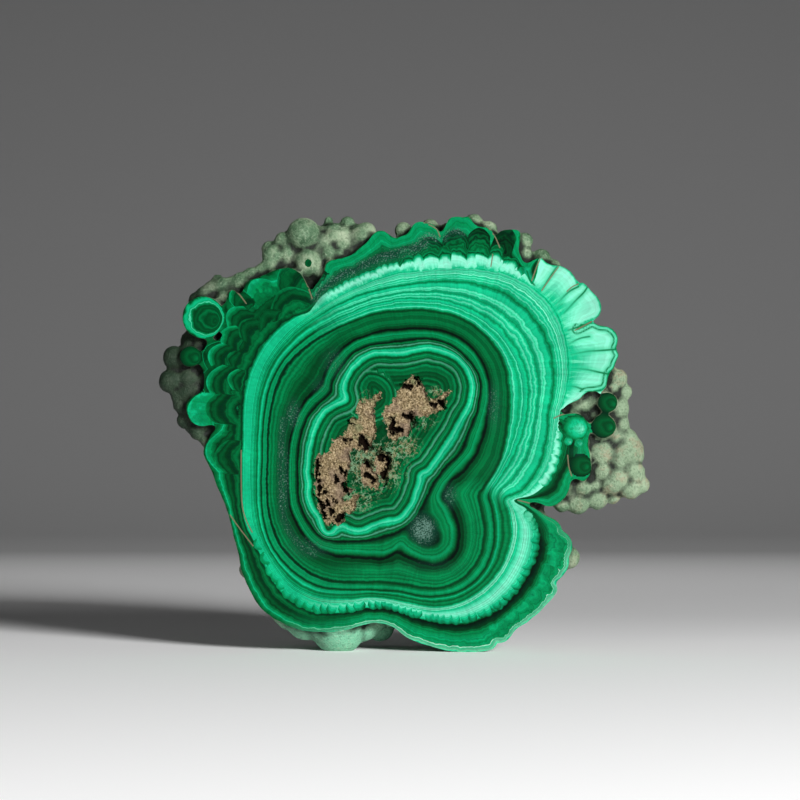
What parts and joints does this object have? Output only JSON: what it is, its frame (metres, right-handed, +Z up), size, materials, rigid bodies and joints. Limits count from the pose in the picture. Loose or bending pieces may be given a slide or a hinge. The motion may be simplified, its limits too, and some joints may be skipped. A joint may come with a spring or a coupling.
{
  "type": "polished malachite slab",
  "caption": "Thick upright slice of banded malachite with a flat polished face, a grape-like crust round the rim, earthy hollows in the middle and a flat sawn back, resting on two ground spots.",
  "frame": {"origin": "Centre of the bounding box in plan, on the surface that the slab stands on.", "axes": "+X runs along the slab's width, to the right as the polished face is looked at; +Y runs from the polished face to the sawn back; +Z is up."},
  "size_m": [0.1476, 0.036, 0.1317],
  "materials": {
    "malachite": "polished"
  },
  "bodies": {
    "root": {"malachite_slab": "malachite"}
  },
  "joints": []
}
